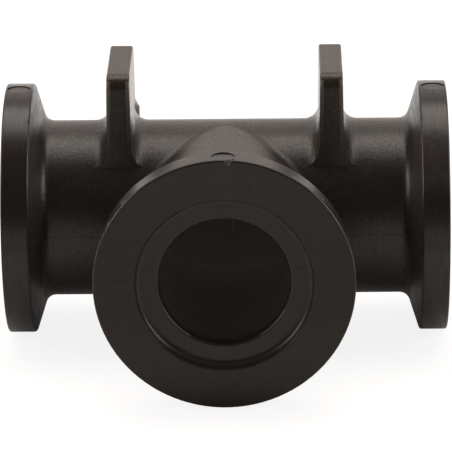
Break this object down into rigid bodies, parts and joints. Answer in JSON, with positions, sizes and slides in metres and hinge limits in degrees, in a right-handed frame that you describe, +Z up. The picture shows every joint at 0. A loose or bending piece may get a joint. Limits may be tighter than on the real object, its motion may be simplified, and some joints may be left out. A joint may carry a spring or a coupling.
{
  "type": "flanged tee",
  "caption": "Moulded plastic tee with a clamp flange and gasket seat on each port and upright lugs on the crown of the run.",
  "frame": {"origin": "where the axes of the run and the branch cross", "axes": "+X along the run, -Y out of the branch, +Z up through the lugs; the part stands on the lowest point of its three rims"},
  "size_m": [0.0888, 0.0721, 0.0566],
  "materials": {
    "body": "black glass-filled moulding, low sheen with a fine grain"
  },
  "bodies": {
    "root": {"tee_body": "body"}
  },
  "joints": []
}
